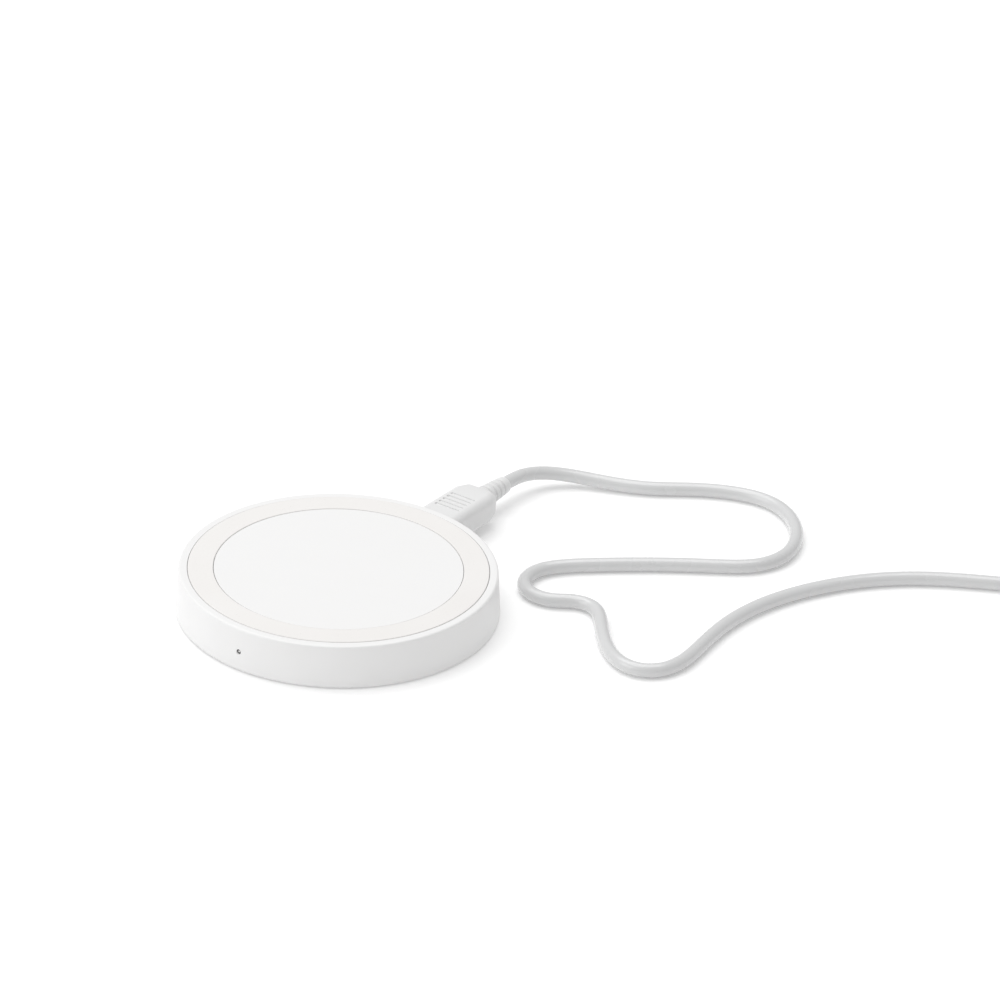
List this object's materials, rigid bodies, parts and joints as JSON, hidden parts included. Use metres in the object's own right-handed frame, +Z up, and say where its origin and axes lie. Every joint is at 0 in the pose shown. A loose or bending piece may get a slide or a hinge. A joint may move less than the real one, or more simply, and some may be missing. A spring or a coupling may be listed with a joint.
{
  "type": "wireless charging pad",
  "caption": "Round flat wireless charging pad with a silicone grip ring, an edge indicator hole and a detachable thin supply cable that ends in a flat power plug.",
  "frame": {"origin": "middle of the foot ring's underside, on the surface that the pad stands on", "axes": "+Z up through the pad's middle, +Y out of the cable socket, -Y out of the indicator hole"},
  "size_m": [0.2142, 0.1501, 0.01],
  "materials": {
    "housing": "satin white moulded plastic with a very fine grain",
    "grip_silicone": "matt warm-white silicone",
    "foot_silicone": "matt light grey silicone",
    "circuit_board": "green solder resist",
    "ferrite": "dark grey pressed ferrite",
    "copper": "enamelled copper wire",
    "adhesive_film": "cream film and LED moulding",
    "chip_moulding": "black moulded package",
    "ceramic": "tan ceramic",
    "clear_acrylic": "clear light pipe",
    "insulator": "black connector insulator",
    "steel": "nickel-plated steel",
    "gold": "gold-plated contact",
    "plug_moulding": "satin white soft moulding",
    "cord_jacket": "satin white cable jacket",
    "tie_strap": "white woven strap"
  },
  "bodies": {
    "pad": {"top_cover": "housing", "grip_ring": "grip_silicone", "bottom_cover": "housing", "foot_ring": "foot_silicone", "housing_screw_1": "steel", "housing_screw_2": "steel", "housing_screw_3": "steel", "housing_screw_4": "steel", "circuit_board": "circuit_board", "ferrite_sheet": "ferrite", "transmitter_coil": "copper", "coil_adhesive_film": "adhesive_film", "coil_lead_inner": "copper", "coil_lead_outer": "copper", "charge_controller": "chip_moulding", "bridge_driver_1": "chip_moulding", "bridge_driver_2": "chip_moulding", "resonance_capacitor_1": "ceramic", "resonance_capacitor_2": "ceramic", "resonance_capacitor_3": "ceramic", "resonance_capacitor_4": "ceramic", "input_inductor": "chip_moulding", "indicator_led": "adhesive_film", "light_pipe": "clear_acrylic", "socket_shell": "steel", "socket_tongue": "insulator"},
    "cable": {"plug_shell": "steel", "plug_grip": "plug_moulding", "plug_strain_relief": "plug_moulding", "cord_lead": "cord_jacket", "cord_coil": "cord_jacket", "coil_tie": "tie_strap", "cord_tail": "cord_jacket", "supply_plug_strain_relief": "plug_moulding", "supply_plug_grip": "plug_moulding", "supply_plug_shell": "steel", "supply_plug_tongue": "plug_moulding", "supply_plug_contact_1": "gold", "supply_plug_contact_2": "gold", "supply_plug_contact_3": "gold", "supply_plug_contact_4": "gold"}
  },
  "joints": [
    {"name": "plug_pull", "type": "slide", "parent": "pad", "child": "cable", "axis": [0, 1, 0], "range_m": [0, 0.007]}
  ]
}
